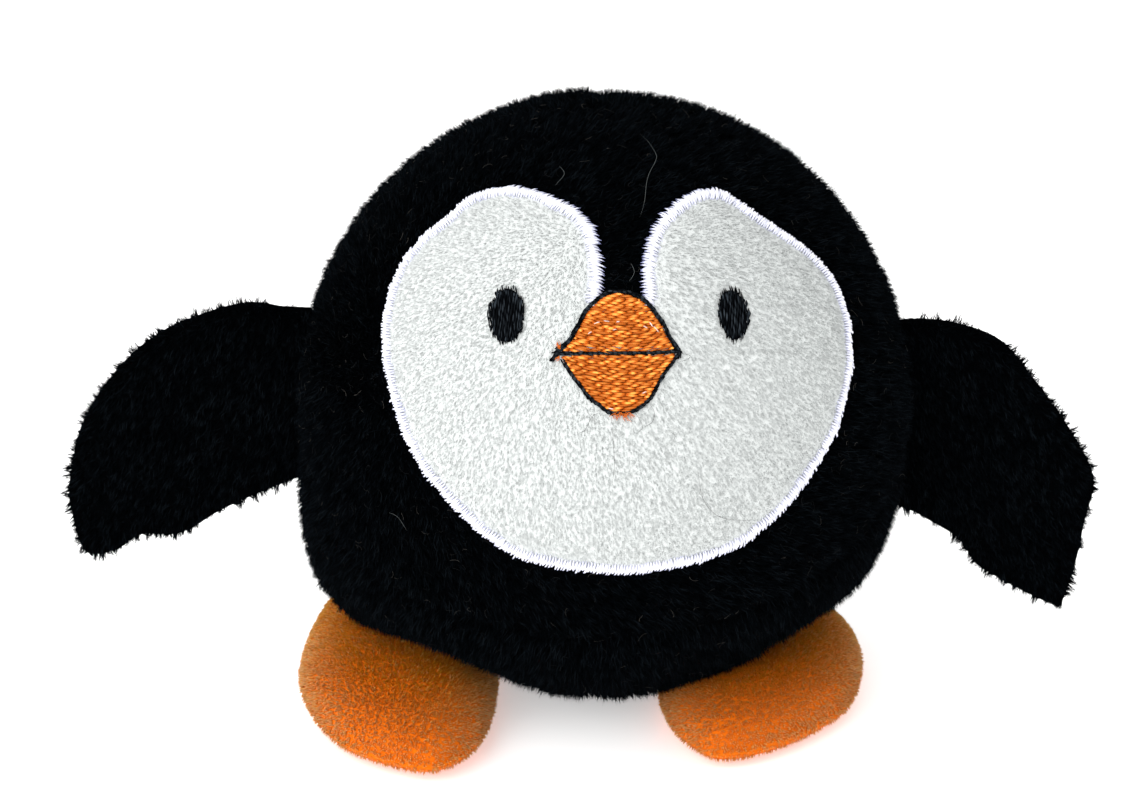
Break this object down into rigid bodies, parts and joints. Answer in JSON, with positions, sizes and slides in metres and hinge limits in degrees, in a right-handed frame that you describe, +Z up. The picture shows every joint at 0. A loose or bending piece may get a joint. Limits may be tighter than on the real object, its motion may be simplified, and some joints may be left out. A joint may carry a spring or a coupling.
{
  "type": "plush penguin",
  "caption": "Small ball-shaped plush penguin with flat wings, padded feet, a white face applique and an embroidered beak and eyes.",
  "frame": {"origin": "middle of the flat patch under the ball that it rests on", "axes": "+Z up, the penguin faces -Y, its own left side is at +X; left and right in node names are the penguin's own"},
  "size_m": [0.1903, 0.1145, 0.11],
  "materials": {
    "black_plush": "short-pile plush, soft matte black",
    "white_plush": "short brushed plush, off-white",
    "white_thread": "rayon embroidery thread, satin sheen, cool white",
    "black_thread": "rayon embroidery thread, satin sheen, black",
    "orange_thread": "rayon embroidery thread, satin sheen, orange",
    "orange_velour": "short velour pile, orange",
    "polyester_fill": "loose polyester fibre",
    "pellet_cloth": "thin woven cloth",
    "backing_fleece": "non-woven embroidery backing",
    "label_satin": "white satin ribbon, blank"
  },
  "bodies": {
    "body": {"body_front_panel": "black_plush", "body_left_panel": "black_plush", "body_right_panel": "black_plush", "body_base_panel": "black_plush", "body_stuffing": "polyester_fill", "pellet_pouch": "pellet_cloth", "embroidery_backing": "backing_fleece", "face_applique": "white_plush", "face_satin_border": "white_thread", "left_eye_embroidery": "black_thread", "right_eye_embroidery": "black_thread", "beak_upper": "orange_thread", "beak_lower": "orange_thread", "beak_outline_stitch": "black_thread", "closing_stitch": "black_thread"},
    "left_wing": {"left_wing_front_panel": "black_plush", "left_wing_back_panel": "black_plush"},
    "right_wing": {"right_wing_front_panel": "black_plush", "right_wing_back_panel": "black_plush"},
    "left_foot": {"left_foot_top_panel": "orange_velour", "left_foot_sole": "orange_velour", "left_foot_stuffing": "polyester_fill"},
    "right_foot": {"right_foot_top_panel": "orange_velour", "right_foot_sole": "orange_velour", "right_foot_stuffing": "polyester_fill"},
    "label": {"care_label": "label_satin"}
  },
  "joints": [
    {"name": "left_wing_swing", "type": "hinge", "parent": "body", "child": "left_wing", "pos_m": [0.0572, -0.005, 0.055], "axis": [0, 0, 1], "range_deg": [-65, 65], "stiffness_Nm_per_rad": 0.002},
    {"name": "right_wing_swing", "type": "hinge", "parent": "body", "child": "right_wing", "pos_m": [-0.0572, -0.005, 0.055], "axis": [0, 0, -1], "range_deg": [-65, 65], "stiffness_Nm_per_rad": 0.002},
    {"name": "left_foot_tilt", "type": "hinge", "parent": "body", "child": "left_foot", "pos_m": [0.03827, 0.01903, 0.006], "axis": [-0.9511, 0.309, 0], "range_deg": [-35, 0], "stiffness_Nm_per_rad": 0.01},
    {"name": "right_foot_tilt", "type": "hinge", "parent": "body", "child": "right_foot", "pos_m": [-0.04075, 0.01769, 0.006], "axis": [-0.9903, -0.1392, 0], "range_deg": [-35, 0], "stiffness_Nm_per_rad": 0.01},
    {"name": "label_flip", "type": "hinge", "parent": "body", "child": "label", "pos_m": [-0.002, 0.05445, 0.031], "axis": [0, 0, 1], "range_deg": [-6, 160]}
  ]
}
